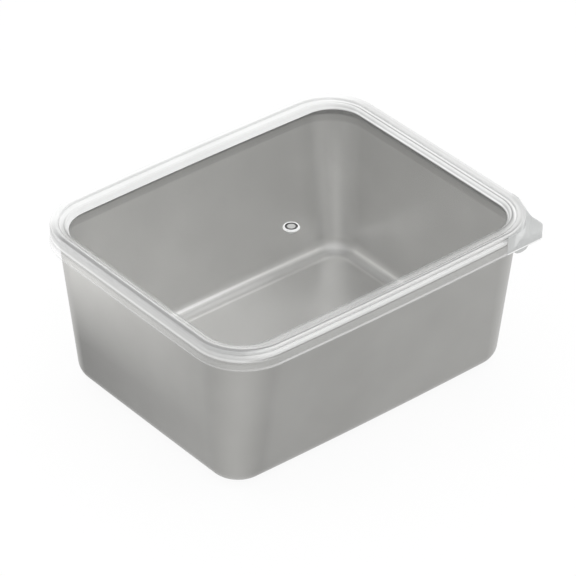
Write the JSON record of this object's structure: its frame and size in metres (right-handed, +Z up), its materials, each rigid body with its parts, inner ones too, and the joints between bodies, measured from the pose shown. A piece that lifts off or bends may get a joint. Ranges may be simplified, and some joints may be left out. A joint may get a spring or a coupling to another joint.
{
  "type": "lidded food pan",
  "caption": "Rectangular drawn steel food pan with drafted walls and a rolled rim, closed by a clear press-down lid with a pull corner, a hidden seal ring and a small vent plug.",
  "frame": {"origin": "centre of the overall footprint, on the plane the base stands on", "axes": "+Z up, +X along the long sides, -Y the long side in front; the lid's pull corner is at +X and -Y"},
  "size_m": [0.2334, 0.1938, 0.1043],
  "materials": {
    "steel": "satin, evenly pickled sheet",
    "clear_plastic": "clear, glossy moulding",
    "seal_silicone": "milky, matt",
    "plug_silicone": "milky, satin"
  },
  "bodies": {
    "pan": {"pan": "steel"},
    "lid": {"lid": "clear_plastic", "seal_ring": "seal_silicone"},
    "vent": {"vent_plug": "plug_silicone"}
  },
  "joints": [
    {"name": "lid_lift", "type": "slide", "parent": "pan", "child": "lid", "axis": [0, 0, 1], "range_m": [0, 0.08]},
    {"name": "vent_lift", "type": "slide", "parent": "lid", "child": "vent", "axis": [0, 0, 1], "range_m": [0, 0.0012]}
  ]
}
